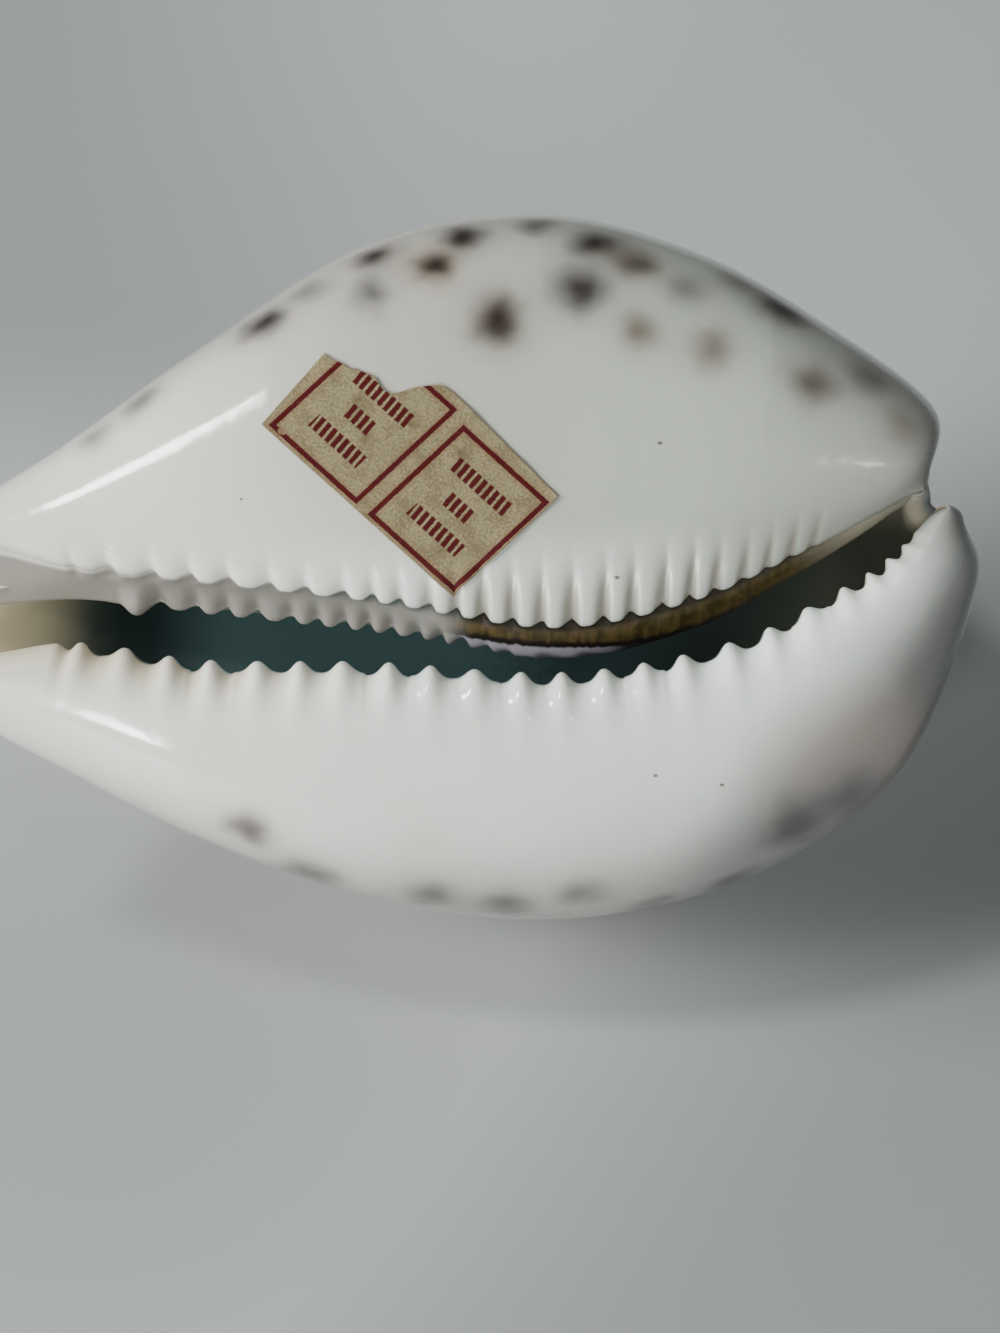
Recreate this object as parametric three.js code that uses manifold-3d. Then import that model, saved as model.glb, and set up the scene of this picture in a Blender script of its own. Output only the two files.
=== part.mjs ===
// Tiger cowrie shell with a torn two-cell paper sticker on its base.
// Millimetres, +Z up. The shell lies on its outer-lip flank with the aperture turned up and forward,
// and the small flat spot it lies on is at the origin.
//
// The shell is drawn in a frame of its own: +X to the rear (posterior) end, +Y to the columellar side,
// +Z out of the base, where the aperture is, with z = 0 at the crest of the lips.
import * as THREE from 'three';
import { mergeVertices } from 'three/addons/utils/BufferGeometryUtils.js';
import Module from 'manifold-3d';

const wasm = await Module();
wasm.setup();

// How the shell lies: turned about its length until the flank is underneath.
const rollDegrees = 46;
const restSpotDepth = 0.8; // worn off the flank where it touches
const restSpot = [6.4, 15.6]; // its middle, x and y as the shell lies

// Guide lines run from the front canal (first knot) to the rear canal (last knot), ten knots each.
const labralMargin = guide([
  [-45.8, -7.6, -4.4], [-41.2, -10.4, -5.8], [-34, -14.5, -8], [-23.2, -20.4, -11], [-8, -26, -13.5],
  [9, -27.6, -14.5], [25, -23.6, -14], [36.8, -14.7, -12.5], [42.8, 0.9, -9.6], [41.3, 6.9, -6.6],
]);
const columellarMargin = guide([
  [-45.6, 5.6, -3.8], [-41.2, 8.3, -5.2], [-34.3, 12.9, -8], [-23.2, 21.2, -12], [-8.5, 30.5, -14.5],
  [6.5, 33, -15.5], [20, 29.5, -15], [31, 23, -13], [39.2, 16.2, -9.8], [38.4, 10.4, -6.6],
]);
const dorsum = guide([
  [-43.6, -0.5, -7.8], [-40.6, -0.5, -10.8], [-34, 0, -20.5], [-23, 0.8, -34.5], [-8, 2, -45],
  [7, 3, -48], [21.5, 3, -45.5], [33.5, 3.5, -36], [39.8, 6, -23], [39.1, 8.3, -9.4],
]);
const labralLip = guide([
  [-45, -4.8, -3.5], [-39.4, -4.4, -3.2], [-32, -3.5, -3], [-22, -4.9, -2.6], [-7.5, -5.1, -2.2],
  [8, -5.9, -2.2], [21.5, -3.5, -2.4], [30.8, 1, -2.8], [35.2, 3.9, -3.3], [38.3, 6.9, -4.4],
]);
const columellarLip = guide([
  [-45, 3.6, -3.2], [-39.4, 4.2, -2.8], [-32.6, 2.6, -2.6], [-22, 1.4, -2.2], [-7.5, -0.2, -1.9],
  [7, -2.3, -1.9], [18.5, -0.1, -2], [27.5, 3.9, -2.4], [33.4, 6.9, -3], [36.7, 8.6, -4.2],
]);
const innerLip = guide([
  [-44.6, 0, -4.8], [-39.4, -0.4, -5.2], [-32.3, 0, -5.8], [-22, -1.2, -6], [-7.5, -2.8, -6.4],
  [7, -4.8, -8], [18.5, -2.3, -8], [26.5, 2.2, -7.4], [32.6, 5.7, -6.4], [35.6, 7.6, -5.9],
]);
const lastKnot = 9;

// Lips: how far the crest stands back from the edge, and how high above it.
const labralCrestBack = 4.6;
const columellarCrestBack = 7.5;
const crestShare = 0.3; // of the lip's whole width, where the lip is narrow
const labralCrestRise = 2.2;
const columellarCrestRise = 1.9;
const foldDepth = 0.7; // hollow between the columellar teeth and the inner lip

// Teeth: stations along the shell are tips and notches by turns.
const stationCount = 53;
const smoothStations = 3; // no teeth at the front canal
const labralTeethEnd = 51; // last station with a tooth
const columellarTeethEnd = 42;
const labralToothDepth = 1.25;
const columellarToothDepth = 0.9;

// Wall thickness.
const lipWall = 5.2;
const flankWall = 3.6;
const dorsumWall = 2.3;
const columellarWall = 4.2;
const whorlWall = 1.5;
const endWall = 2.3;
const endKnots = 2.2; // length of the taper to endWall, in knots

// Roundness of the cross-section: 2 is an ellipse, more is squarer.
const frontRoundness = 1.75;
const baseRoundness = 2.25;
const dorsumRoundness = 2.1;

// The inner whorl turns down from the inner lip. Its path is in shares of the room there is beside it
// and below it: [towards the columellar margin, towards the dorsum].
const whorlPath = [[0.02, 0.1], [0.08, 0.2], [0.17, 0.26]];
const whorlAtEnds = 0.3; // of its size along the body
const rimSteps = 2; // facets over the rounded rim at each canal

// Sticker: along and across its two cells, and its torn upper edge as [along, across].
const stickerLength = 21.1;
const tornEdge = [[0, 7.9], [0.8, 7.9], [2.4, 8.7], [3.9, 9.3], [5.9, 9], [6.5, 10.2], [7.6, 12], [8.4, 12.6],
  [9.6, 12.6], [21.1, 12]];
const stickerCorner = [-17, 14.4]; // x, y of its first corner
const alongStep = [0.744, -0.668]; // x, y it covers in a millimetre of length, and of width
const acrossStep = [0.732, 0.682];
const stickerGap = 0.35;
const stickerThickness = 0.25;
const stickerSteps = [14, 8];

function guide(knots) {
  return new THREE.CatmullRomCurve3(knots.map((k) => new THREE.Vector3(...k)), false, 'catmullrom', 0.5);
}

function at(line, s) {
  return line.getPoint(s / lastKnot);
}

function mix(a, b, f) {
  return a + (b - a) * f;
}

function smooth(from, to, value) {
  const f = THREE.MathUtils.clamp((value - from) / (to - from), 0, 1);
  return f * f * (3 - 2 * f);
}

// 0 at both canals, 1 along the body
function body(s) {
  return smooth(0, endKnots, s) * smooth(lastKnot, lastKnot - endKnots, s);
}

function steps(count) {
  return Array.from({ length: count }, (_, i) => (i + 1) / count);
}

// The crest of a lip lies on the straight line from its edge to the margin.
function crest(edge, margin, reach, rise) {
  const out = new THREE.Vector3(margin.x - edge.x, margin.y - edge.y, 0);
  const width = out.length();
  const back = Math.min(reach, crestShare * width);
  return edge.clone().addScaledVector(out.normalize(), back).add(new THREE.Vector3(0, 0, rise));
}

// A quarter of a superellipse that leaves `flat` level and reaches `steep` upright.
function quarter(flat, steep, roundness, f) {
  const angle = f * Math.PI / 2;
  const across = Math.sin(angle) ** (2 / roundness);
  const down = Math.cos(angle) ** (2 / roundness);
  return new THREE.Vector3(
    mix(flat.x, steep.x, across), mix(flat.y, steep.y, across), mix(steep.z, flat.z, down));
}

// The same from margin to dorsum, where every section crosses the dorsum square to the length.
function quarterToDorsum(margin, top, roundness, f) {
  const point = quarter(top, margin, roundness, 1 - f);
  point.x = mix(top.x, margin.x, Math.cos(f * Math.PI / 2) ** 2);
  return point;
}

// Moves a lip's edge back towards its margin, for a notch between two teeth.
function notch(edge, margin, depth) {
  const back = new THREE.Vector3(margin.x - edge.x, margin.y - edge.y, 0).setLength(depth);
  return edge.clone().add(back);
}

// One cross-section of the outer surface, from the labral lip round the shell to the inner whorl.
// `wall` is the thickness under each point, or null where the inside has its own line.
function outerSection(s, station) {
  const edge = at(labralLip, s);
  const margin = at(labralMargin, s);
  const top = at(dorsum, s);
  const farMargin = at(columellarMargin, s);
  const farEdge = at(columellarLip, s);
  const inner = at(innerLip, s);
  const lipCrest = crest(edge, margin, labralCrestBack, labralCrestRise);
  const farCrest = crest(farEdge, farMargin, columellarCrestBack, columellarCrestRise);
  const roundness = mix(frontRoundness, baseRoundness, smooth(0.5, 4, s));
  const whole = body(s);
  const notched = station % 2 === 1 && station > smoothStations;
  const cut = notch(edge, margin, notched && station < labralTeethEnd ? labralToothDepth : 0);
  const farCut = notch(farEdge, farMargin, notched && station < columellarTeethEnd ? columellarToothDepth : 0);
  const points = [cut];
  const wall = [null];
  const add = (point, thickness) => {
    points.push(point);
    wall.push(thickness === null ? null : mix(endWall, thickness, whole));
  };
  for (const f of steps(4)) add(quarter(lipCrest, cut, 2, 1 - f), f < 1 ? null : lipWall);
  for (const f of steps(6)) add(quarter(lipCrest, margin, roundness, f), mix(lipWall, flankWall, f));
  for (const f of steps(6)) {
    add(quarterToDorsum(margin, top, dorsumRoundness, f), mix(flankWall, dorsumWall, f));
  }
  for (const f of steps(6)) {
    add(quarterToDorsum(farMargin, top, dorsumRoundness, 1 - f), mix(dorsumWall, flankWall, f));
  }
  for (const f of steps(7)) {
    add(quarter(farCrest, farMargin, roundness, 1 - f), mix(flankWall, columellarWall, f));
  }
  for (const f of steps(4)) add(quarter(farCrest, farCut, 2, f), null);
  for (const f of steps(3)) {
    const point = farCut.clone().lerp(inner, f);
    point.y += foldDepth * Math.sin(f * Math.PI);
    add(point, f < 1 ? null : whorlWall);
  }
  const size = mix(whorlAtEnds, 1, whole);
  const curl = new THREE.CatmullRomCurve3([inner, ...whorlPath.map(([side, down]) => new THREE.Vector3(
    inner.x, mix(inner.y, farMargin.y, side * size), mix(inner.z, top.z, down * size)))]);
  for (const f of steps(4)) add(curl.getPoint(f), whorlWall);
  return { points, wall };
}

function stations() {
  return Array.from({ length: stationCount },
    (_, i) => labralLip.getUtoTmapping(i / (stationCount - 1)) * lastKnot);
}

// Normals of a grid of points, out of the shell.
function gridNormals(rows) {
  return rows.map((row, i) => row.map((_, j) => {
    const before = rows[Math.max(i - 1, 0)][j];
    const after = rows[Math.min(i + 1, rows.length - 1)][j];
    const left = row[Math.max(j - 1, 0)];
    const right = row[Math.min(j + 1, row.length - 1)];
    const lengthwise = after.clone().sub(before);
    return right.clone().sub(left).cross(lengthwise).normalize();
  }));
}

// The inside: a wall's thickness below the outside, and a short curve of its own behind each lip.
function innerRow(points, normals, wall) {
  const row = points.map((p, j) => (wall[j] === null ? null : p.clone().addScaledVector(normals[j], -wall[j])));
  const firstWall = row.findIndex((p) => p !== null);
  const lipBack = points[firstWall].clone().sub(points[0]).setZ(0).normalize();
  const under = points[0].clone().addScaledVector(lipBack, 1).add(new THREE.Vector3(0, 0, -2.4));
  const bend = new THREE.QuadraticBezierCurve3(under,
    under.clone().add(new THREE.Vector3(0, 0, -2.2)), row[firstWall]);
  for (let j = 0; j < firstWall; j += 1) row[j] = bend.getPoint(j / firstWall);
  const gapStart = row.indexOf(null);
  const gapEnd = row.findIndex((p, j) => j > gapStart && p !== null);
  for (let j = gapStart; j < gapEnd; j += 1) {
    row[j] = row[gapStart - 1].clone().lerp(row[gapEnd], (j - gapStart + 1) / (gapEnd - gapStart + 1));
  }
  return row;
}

// Joins rows of points, each a closed ring, into one indexed geometry with closed ends.
function meshFromRows(rows) {
  const width = rows[0].length;
  const index = [];
  const quad = (a, b, c, d) => index.push(a, c, b, a, d, c);
  for (let i = 0; i + 1 < rows.length; i += 1) {
    for (let j = 0; j < width; j += 1) {
      const k = (j + 1) % width;
      quad(i * width + j, (i + 1) * width + j, (i + 1) * width + k, i * width + k);
    }
  }
  for (const [i, flip] of [[0, false], [rows.length - 1, true]]) {
    for (let j = 0; j + 1 < width / 2; j += 1) {
      const corners = [j, j + 1, width - 2 - j, width - 1 - j].map((k) => i * width + k);
      quad(...(flip ? corners.reverse() : corners));
    }
  }
  const geometry = new THREE.BufferGeometry();
  geometry.setAttribute('position',
    new THREE.Float32BufferAttribute(rows.flat().flatMap((p) => [p.x, p.y, p.z]), 3));
  geometry.setIndex(index);
  const merged = mergeVertices(geometry);
  const corners = [...merged.index.array];
  const kept = corners.filter((_, n) => {
    const [a, b, c] = corners.slice(n - (n % 3), n - (n % 3) + 3);
    return a !== b && b !== c && c !== a;
  });
  merged.setIndex(kept);
  return merged;
}

// Half a turn over the rim: the outer and the inner surface close up round the middle of the wall.
function rim(ring, next) {
  return Array.from({ length: rimSteps }, (_, n) => {
    const angle = (n + 1) / rimSteps * Math.PI / 2;
    return ring.map((p, j) => {
      const across = ring[ring.length - 1 - j];
      const middle = p.clone().add(across).multiplyScalar(0.5);
      const out = p.clone().sub(next[j]).add(across).sub(next[ring.length - 1 - j]).normalize();
      return middle.clone().addScaledVector(p.clone().sub(middle), Math.cos(angle))
        .addScaledVector(out, p.distanceTo(middle) * Math.sin(angle));
    });
  });
}

function shellRows() {
  const sections = stations().map((s, i) => outerSection(s, i));
  const outer = sections.map((section) => section.points);
  const normals = gridNormals(outer);
  const rings = outer.map((points, i) => {
    const inside = innerRow(points, normals[i], sections[i].wall);
    return [...points, ...inside.reverse()];
  });
  const last = rings.length - 1;
  return [...rim(rings[0], rings[1]).reverse(), ...rings, ...rim(rings[last], rings[last - 1])];
}

// A box below the level that the shell is ground down to where it lies.
function ground(level) {
  const box = new THREE.BoxGeometry(200, 200, 100);
  box.translate(0, 0, level - 50);
  box.rotateX(-roll);
  return box;
}

function solid(geometry) {
  const bare = new THREE.BufferGeometry();
  bare.setAttribute('position', geometry.getAttribute('position'));
  bare.setIndex(geometry.index);
  const merged = mergeVertices(bare);
  return new wasm.Manifold(new wasm.Mesh({
    numProp: 3,
    vertProperties: new Float32Array(merged.getAttribute('position').array),
    triVerts: new Uint32Array(merged.index.array),
  }));
}

function geometryOf(body) {
  const { vertProperties, triVerts } = body.getMesh();
  const geometry = new THREE.BufferGeometry();
  geometry.setAttribute('position', new THREE.BufferAttribute(vertProperties, 3));
  geometry.setIndex(new THREE.BufferAttribute(triVerts, 1));
  return geometry;
}

// Width of the sticker at a distance along it, with its torn corner.
function widthAt(along) {
  const after = Math.max(tornEdge.findIndex(([a]) => a >= along), 1);
  const [a0, w0] = tornEdge[after - 1];
  const [a1, w1] = tornEdge[after];
  return mix(w0, w1, (along - a0) / (a1 - a0));
}

// The sticker is laid on the shell from above the base.
function stickerRows(surface) {
  const caster = new THREE.Raycaster();
  const down = new THREE.Vector3(0, 0, -1);
  const [alongSteps, acrossSteps] = stickerSteps;
  const laid = (along, across) => {
    const x = stickerCorner[0] + along * alongStep[0] + across * acrossStep[0];
    const y = stickerCorner[1] + along * alongStep[1] + across * acrossStep[1];
    caster.set(new THREE.Vector3(x, y, 20), down);
    return caster.intersectObject(surface)[0].point;
  };
  return Array.from({ length: alongSteps + 1 }, (_, i) => {
    const along = stickerLength * i / alongSteps;
    const row = Array.from({ length: acrossSteps + 1 },
      (_, j) => laid(along, widthAt(along) * j / acrossSteps));
    const raised = (height) => row.map((p) => p.clone().setZ(p.z + height));
    return [...raised(stickerGap), ...raised(stickerGap + stickerThickness).reverse()];
  });
}

const roll = THREE.MathUtils.degToRad(rollDegrees);
const rows = shellRows();
const up = new THREE.Vector3(0, Math.sin(roll), Math.cos(roll));
const restLevel = Math.min(...rows.flat().map((p) => p.dot(up))) + restSpotDepth;

const shell = new THREE.Mesh(geometryOf(solid(meshFromRows(rows)).subtract(solid(ground(restLevel)))),
  new THREE.MeshStandardMaterial({ color: 0xe9e6df, roughness: 0.12, metalness: 0 }));
shell.name = 'shell';

const sticker = new THREE.Mesh(meshFromRows(stickerRows(shell)),
  new THREE.MeshStandardMaterial({ color: 0xb5a98a, roughness: 0.8, metalness: 0 }));
sticker.name = 'paper_label';

const lying = new THREE.Group();
lying.rotation.x = roll;
lying.position.set(-restSpot[0], -restSpot[1], -restLevel);
lying.add(shell, sticker);

const group = new THREE.Group();
group.add(lying);
export default group;
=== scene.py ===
import math
import bpy
import numpy as np
from mathutils import Matrix, Vector


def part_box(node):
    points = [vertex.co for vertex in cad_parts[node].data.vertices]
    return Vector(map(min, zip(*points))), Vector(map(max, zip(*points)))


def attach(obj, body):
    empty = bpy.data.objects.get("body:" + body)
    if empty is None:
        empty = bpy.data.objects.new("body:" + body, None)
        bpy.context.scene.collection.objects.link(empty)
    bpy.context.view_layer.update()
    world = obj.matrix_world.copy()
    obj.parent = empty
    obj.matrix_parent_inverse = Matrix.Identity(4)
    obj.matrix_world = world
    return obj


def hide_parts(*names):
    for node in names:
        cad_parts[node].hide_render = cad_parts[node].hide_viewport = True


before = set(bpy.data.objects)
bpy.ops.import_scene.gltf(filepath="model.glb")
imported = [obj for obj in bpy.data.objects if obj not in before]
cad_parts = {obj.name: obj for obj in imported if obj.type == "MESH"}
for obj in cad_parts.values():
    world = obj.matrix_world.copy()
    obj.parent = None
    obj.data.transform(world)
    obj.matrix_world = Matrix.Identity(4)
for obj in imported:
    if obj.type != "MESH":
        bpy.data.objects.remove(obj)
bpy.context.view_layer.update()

millimetre = 0.001
print("frame loaded")

# the shell has a frame of its own: x to its rear canal, y to the columellar side, z out of its base

shell = {
    "rollDegrees": 46,        # how far it is turned about its length as it lies
    "restSpotDepth": 0.8,
    "stationCount": 392,      # sections along the shell
    "rimSteps": 6,            # rings over the rounded rim at each canal
    "labralBack": 4.6,        # from a lip's edge to its crest
    "columellarBack": 7.5,
    "crestShare": 0.30,
    "labralRise": 2.2,
    "columellarRise": 1.9,
    "baseRoundness": (1.75, 2.25),  # at the front and beyond it; 2 is an ellipse, more is squarer
    "dorsumRoundness": 2.1,
    "lipWall": 5.2,
    "flankWall": 3.6,
    "dorsumWall": 2.3,
    "columellarWall": 4.2,
    "whorlWall": 1.5,
    "endWall": 2.3,
    "endKnots": 2.2,
    "whorlPath": [(0.02, 0.1), (0.08, 0.2), (0.17, 0.26)],
    "whorlAtEnds": 0.3,
}

# guide lines from the front canal to the rear canal, in millimetres
lines = {
    "labralMargin": [
        (-45.8, -7.6, -4.4), (-41.2, -10.4, -5.8), (-34, -14.5, -8), (-23.2, -20.4, -11), (-8, -26, -13.5),
        (9, -27.6, -14.5), (25, -23.6, -14), (36.8, -14.7, -12.5), (42.8, 0.9, -9.6), (41.3, 6.9, -6.6)],
    "columellarMargin": [
        (-45.6, 5.6, -3.8), (-41.2, 8.3, -5.2), (-34.3, 12.9, -8), (-23.2, 21.2, -12), (-8.5, 30.5, -14.5),
        (6.5, 33, -15.5), (20, 29.5, -15), (31, 23, -13), (39.2, 16.2, -9.8), (38.4, 10.4, -6.6)],
    "dorsum": [
        (-43.6, -0.5, -7.8), (-40.6, -0.5, -10.8), (-34, 0, -20.5), (-23, 0.8, -34.5), (-8, 2, -45),
        (7, 3, -48), (21.5, 3, -45.5), (33.5, 3.5, -36), (39.8, 6, -23), (39.1, 8.3, -9.4)],
    "labralLip": [
        (-45.0, -4.8, -3.5), (-39.4, -4.4, -3.2), (-32, -3.5, -3), (-22, -4.9, -2.6), (-7.5, -5.1, -2.2),
        (8, -5.9, -2.2), (21.5, -3.5, -2.4), (30.8, 1, -2.8), (35.2, 3.9, -3.3), (38.3, 6.9, -4.4)],
    "columellarLip": [
        (-45.0, 3.6, -3.2), (-39.4, 4.2, -2.8), (-32.6, 2.6, -2.6), (-22, 1.4, -2.2), (-7.5, -0.2, -1.9),
        (7, -2.3, -1.9), (18.5, -0.1, -2), (27.5, 3.9, -2.4), (33.4, 6.9, -3), (36.7, 8.6, -4.2)],
    "innerLip": [
        (-44.6, 0, -4.8), (-39.4, -0.4, -5.2), (-32.3, 0, -5.8), (-22, -1.2, -6), (-7.5, -2.8, -6.4),
        (7, -4.8, -8), (18.5, -2.3, -8), (26.5, 2.2, -7.4), (32.6, 5.7, -6.4), (35.6, 7.6, -5.9)],
}

teeth = {  # pitches are (place along the shell, millimetres from one tooth to the next)
    "labral": {
        "first": -32.0, "last": 36.6, "depth": 1.25, "reach": 8.0, "endReach": 4.5, "sharpness": 2.6,
        "skew": 0.0, "breadth": 0.255, "roundness": 2.3,
        "pitches": [
            (-32, 3.6), (4, 3.65), (12, 3.2), (20, 3.6), (27, 3.2), (31, 2.6), (34, 1.5), (37, 1.1)]},
    "columellar": {
        "first": -31.2, "last": 29.5, "depth": 0.95, "reach": 4.2, "sharpness": 2.4,
        "skew": 0.05, "breadth": 0.40, "roundness": 3.4, "rearDepth": 0.8, "rearReach": 7.6,
        "endDepth": 0.3, "endReach": 5.0,
        "pitches": [
            (-31, 3.35), (-13, 3.15), (-8, 2.3), (2, 2.3), (8, 2.6), (16, 2.35), (24, 2.0), (30, 1.7)]},
    "inner": {
        "first": -27.6, "last": 5.0, "depth": 0.8, "reach": 2.0,
        "skew": 0.03, "breadth": 0.37, "roundness": 2.8,
        "pitches": [(-28, 4.3), (-24, 2.6), (-16, 2.7), (-12, 2.1), (2, 1.9)]},
    "tongue": {"place": -27.7, "half": 1.3, "height": 0.9},
}


def mix(a, b, f):
    return a + (b - a) * f


def smooth(low, high, value):
    f = np.clip((value - low) / (high - low), 0, 1)
    return f * f * (3 - 2 * f)


def steps(count):
    return (np.arange(count) + 1) / count


def along(knots, s):
    # a uniform Catmull-Rom spline through the knots, s counted in knots
    k = np.array(knots, float)
    k = np.vstack([2 * k[0] - k[1], k, 2 * k[-1] - k[-2]])
    i = np.clip(np.floor(s).astype(int), 0, len(knots) - 2)
    f = (s - i)[:, None]
    before, start, end, after = k[i], k[i + 1], k[i + 2], k[i + 3]
    leave, arrive = (end - before) / 2, (after - start) / 2
    return ((2 * f**3 - 3 * f**2 + 1) * start + (f**3 - 2 * f**2 + f) * leave
            + (3 * f**2 - 2 * f**3) * end + (f**3 - f**2) * arrive)


def evenStations(count):
    last = len(lines["labralLip"]) - 1
    fine = np.linspace(0, last, 4000)
    walk = np.linalg.norm(np.diff(along(lines["labralLip"], fine), axis=0), axis=1)
    length = np.concatenate([[0], np.cumsum(walk)])
    return np.interp(np.linspace(0, length[-1], count), length, fine)


def crestOf(edge, margin, back, rise):
    out = margin - edge
    out[:, 2] = 0
    width = np.linalg.norm(out, axis=1, keepdims=True)
    back = np.minimum(back, shell["crestShare"] * width)
    return edge + out / width * back + np.array([0, 0, rise])


def quarter(flat, steep, roundness, f):
    # a quarter of a superellipse that leaves flat level and reaches steep upright
    power = 2 / (np.zeros(len(flat)) + roundness)[:, None]
    across = np.sin(f * np.pi / 2)[None, :] ** power
    down = np.clip(np.cos(f * np.pi / 2), 0, 1)[None, :] ** power
    points = flat[:, None, :] + (steep - flat)[:, None, :] * across[:, :, None]
    points[:, :, 2] = steep[:, None, 2] + (flat - steep)[:, None, 2] * down
    return points


def quarterToDorsum(margin, top, f):
    points = quarter(top, margin, shell["dorsumRoundness"], 1 - f)
    points[:, :, 0] = top[:, None, 0] + (margin - top)[:, None, 0] * np.cos(f * np.pi / 2) ** 2
    return points


def gridNormals(points):
    across = np.gradient(points, axis=1)
    lengthwise = np.gradient(points, axis=0)
    normal = np.cross(across, lengthwise)
    return normal / np.linalg.norm(normal, axis=2, keepdims=True)


def toothRidge(x, style):
    # 1 on a tooth, 0 in the gap beside it, and where the row of teeth is
    pitch = np.interp(x, *np.array(style["pitches"]).T)
    count = np.concatenate([[0], np.cumsum(np.diff(x) / ((pitch[1:] + pitch[:-1]) / 2))])
    count = count - np.interp(style["first"], x, count)
    count = count + 0.035 * np.sin(count * 2.3 + 1)
    aside = count - np.round(count)
    aside = aside + style["skew"] * np.sin(np.pi * (0.5 - np.abs(aside))) * 2
    ridge = np.exp(-(np.abs(aside) / style["breadth"]) ** style["roundness"])
    vary = 1 + 0.10 * np.sin(np.round(count) * 4.7) + 0.06 * np.sin(np.round(count) * 9.1)
    inRow = smooth(style["first"] - 2.2, style["first"] - 0.6, x) * smooth(
        style["last"] + 1.2, style["last"] - 2.4, x)
    return ridge, inRow * vary


def shellRings():
    s = evenStations(shell["stationCount"])
    edge, margin, top = (along(lines[k], s) for k in ("labralLip", "labralMargin", "dorsum"))
    farMargin, farEdge = (along(lines[k], s) for k in ("columellarMargin", "columellarLip"))
    inner = along(lines["innerLip"], s)
    lipCrest = crestOf(edge, margin, shell["labralBack"], shell["labralRise"])
    farCrest = crestOf(farEdge, farMargin, shell["columellarBack"], shell["columellarRise"])
    last = s[-1]
    whole = smooth(0, shell["endKnots"], s) * smooth(last, last - shell["endKnots"], s)
    roundness = mix(*shell["baseRoundness"], smooth(0.5, 4, s))

    fold = steps(16)
    folded = farEdge[:, None, :] + (inner - farEdge)[:, None, :] * fold[None, :, None]
    rear = smooth(-10, 6, farEdge[:, 0])[:, None]
    hollow = 0.9 * np.sin(fold * np.pi)[None, :] * smooth(1.6, 3.4, s)[:, None]
    overhang = 0.5 * np.sin(np.clip(fold / 0.22, 0, 1) * np.pi)
    bulge = -1.0 * np.sin(np.clip((fold - 0.18) / 0.82, 0, 1) * np.pi)
    folded[:, :, 1] += mix(hollow, (overhang + bulge)[None, :], rear) * mix(0.3, 1, whole)[:, None]

    size = mix(shell["whorlAtEnds"], 1, whole)
    knots = [inner]
    for side, down in shell["whorlPath"]:
        point = inner.copy()
        point[:, 1] = mix(inner[:, 1], farMargin[:, 1], side * size)
        point[:, 2] = mix(inner[:, 2], top[:, 2], down * size)
        knots.append(point)
    f = steps(12) * (len(knots) - 1)
    curl = np.array([along([k[i] for k in knots], f) for i in range(len(s))])

    def span(low, high, count):
        return np.linspace(low, high, count + 1)[1:]

    pieces = [
        (quarter(lipCrest, edge, 2, 1 - np.linspace(0, 1, 15)),
         np.append(np.full(14, np.nan), shell["lipWall"])),
        (quarter(lipCrest, margin, roundness, steps(17)), span(shell["lipWall"], shell["flankWall"], 17)),
        (quarterToDorsum(margin, top, steps(17)), span(shell["flankWall"], shell["dorsumWall"], 17)),
        (quarterToDorsum(farMargin, top, 1 - steps(17)), span(shell["dorsumWall"], shell["flankWall"], 17)),
        (quarter(farCrest, farMargin, roundness, 1 - steps(20)),
         span(shell["flankWall"], shell["columellarWall"], 20)),
        (quarter(farCrest, farEdge, 2, steps(12)), np.full(12, np.nan)),
        (folded, np.append(np.full(15, np.nan), shell["whorlWall"])),
        (curl, np.full(12, shell["whorlWall"])),
    ]
    outer = np.concatenate([p for p, _ in pieces], axis=1)
    wall = np.concatenate([w for _, w in pieces])
    counts = np.cumsum([p.shape[1] for p, _ in pieces])
    farEdgeAt, innerAt = counts[5] - 1, counts[6] - 1
    firstWall, gapStart, gapEnd = 14, counts[4], innerAt
    outward = gridNormals(outer)
    thickness = mix(shell["endWall"], np.nan_to_num(wall)[None, :], whole[:, None])
    inside = outer - outward * thickness[:, :, None]

    # a bend of its own behind the labral lip, and a straight run behind the columellar one
    f = (np.arange(firstWall) / firstWall)[None, :, None]
    tip, wallStart = outer[:, :1], inside[:, firstWall:firstWall + 1]
    pull = tip + np.array([0, 0, -1.0]) * (tip - wallStart)[:, :, 2:3]
    inside[:, :firstWall] = (1 - f) ** 2 * tip + 2 * f * (1 - f) * pull + f**2 * wallStart
    f = np.linspace(0, 1, gapEnd - gapStart + 2)[None, 1:-1, None]
    inside[:, gapStart:gapEnd] = mix(inside[:, gapStart - 1:gapStart], inside[:, gapEnd:gapEnd + 1], f)

    # teeth
    walk = np.linalg.norm(np.diff(outer, axis=1), axis=2)
    distance = np.concatenate([np.zeros((len(s), 1)), np.cumsum(walk, axis=1)], axis=1)
    gap = np.zeros(outer.shape[:2])
    ridge, inRow = toothRidge(edge[:, 0], teeth["labral"])
    style = teeth["labral"]
    reachOut = mix(style["reach"], style["endReach"], smooth(20, 33, edge[:, 0])[:, None])
    reach = np.clip(1 - distance / reachOut, 0, 1) ** style["sharpness"]
    gap += ((1 - ridge) * inRow)[:, None] * reach
    push = outward * (style["depth"] * gap)[:, :, None]
    under = np.linspace(1, 0, firstWall) ** 1.5
    inside[:, :firstWall] -= push[:, :1] * under[None, :, None]
    outer = outer - push

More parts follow.
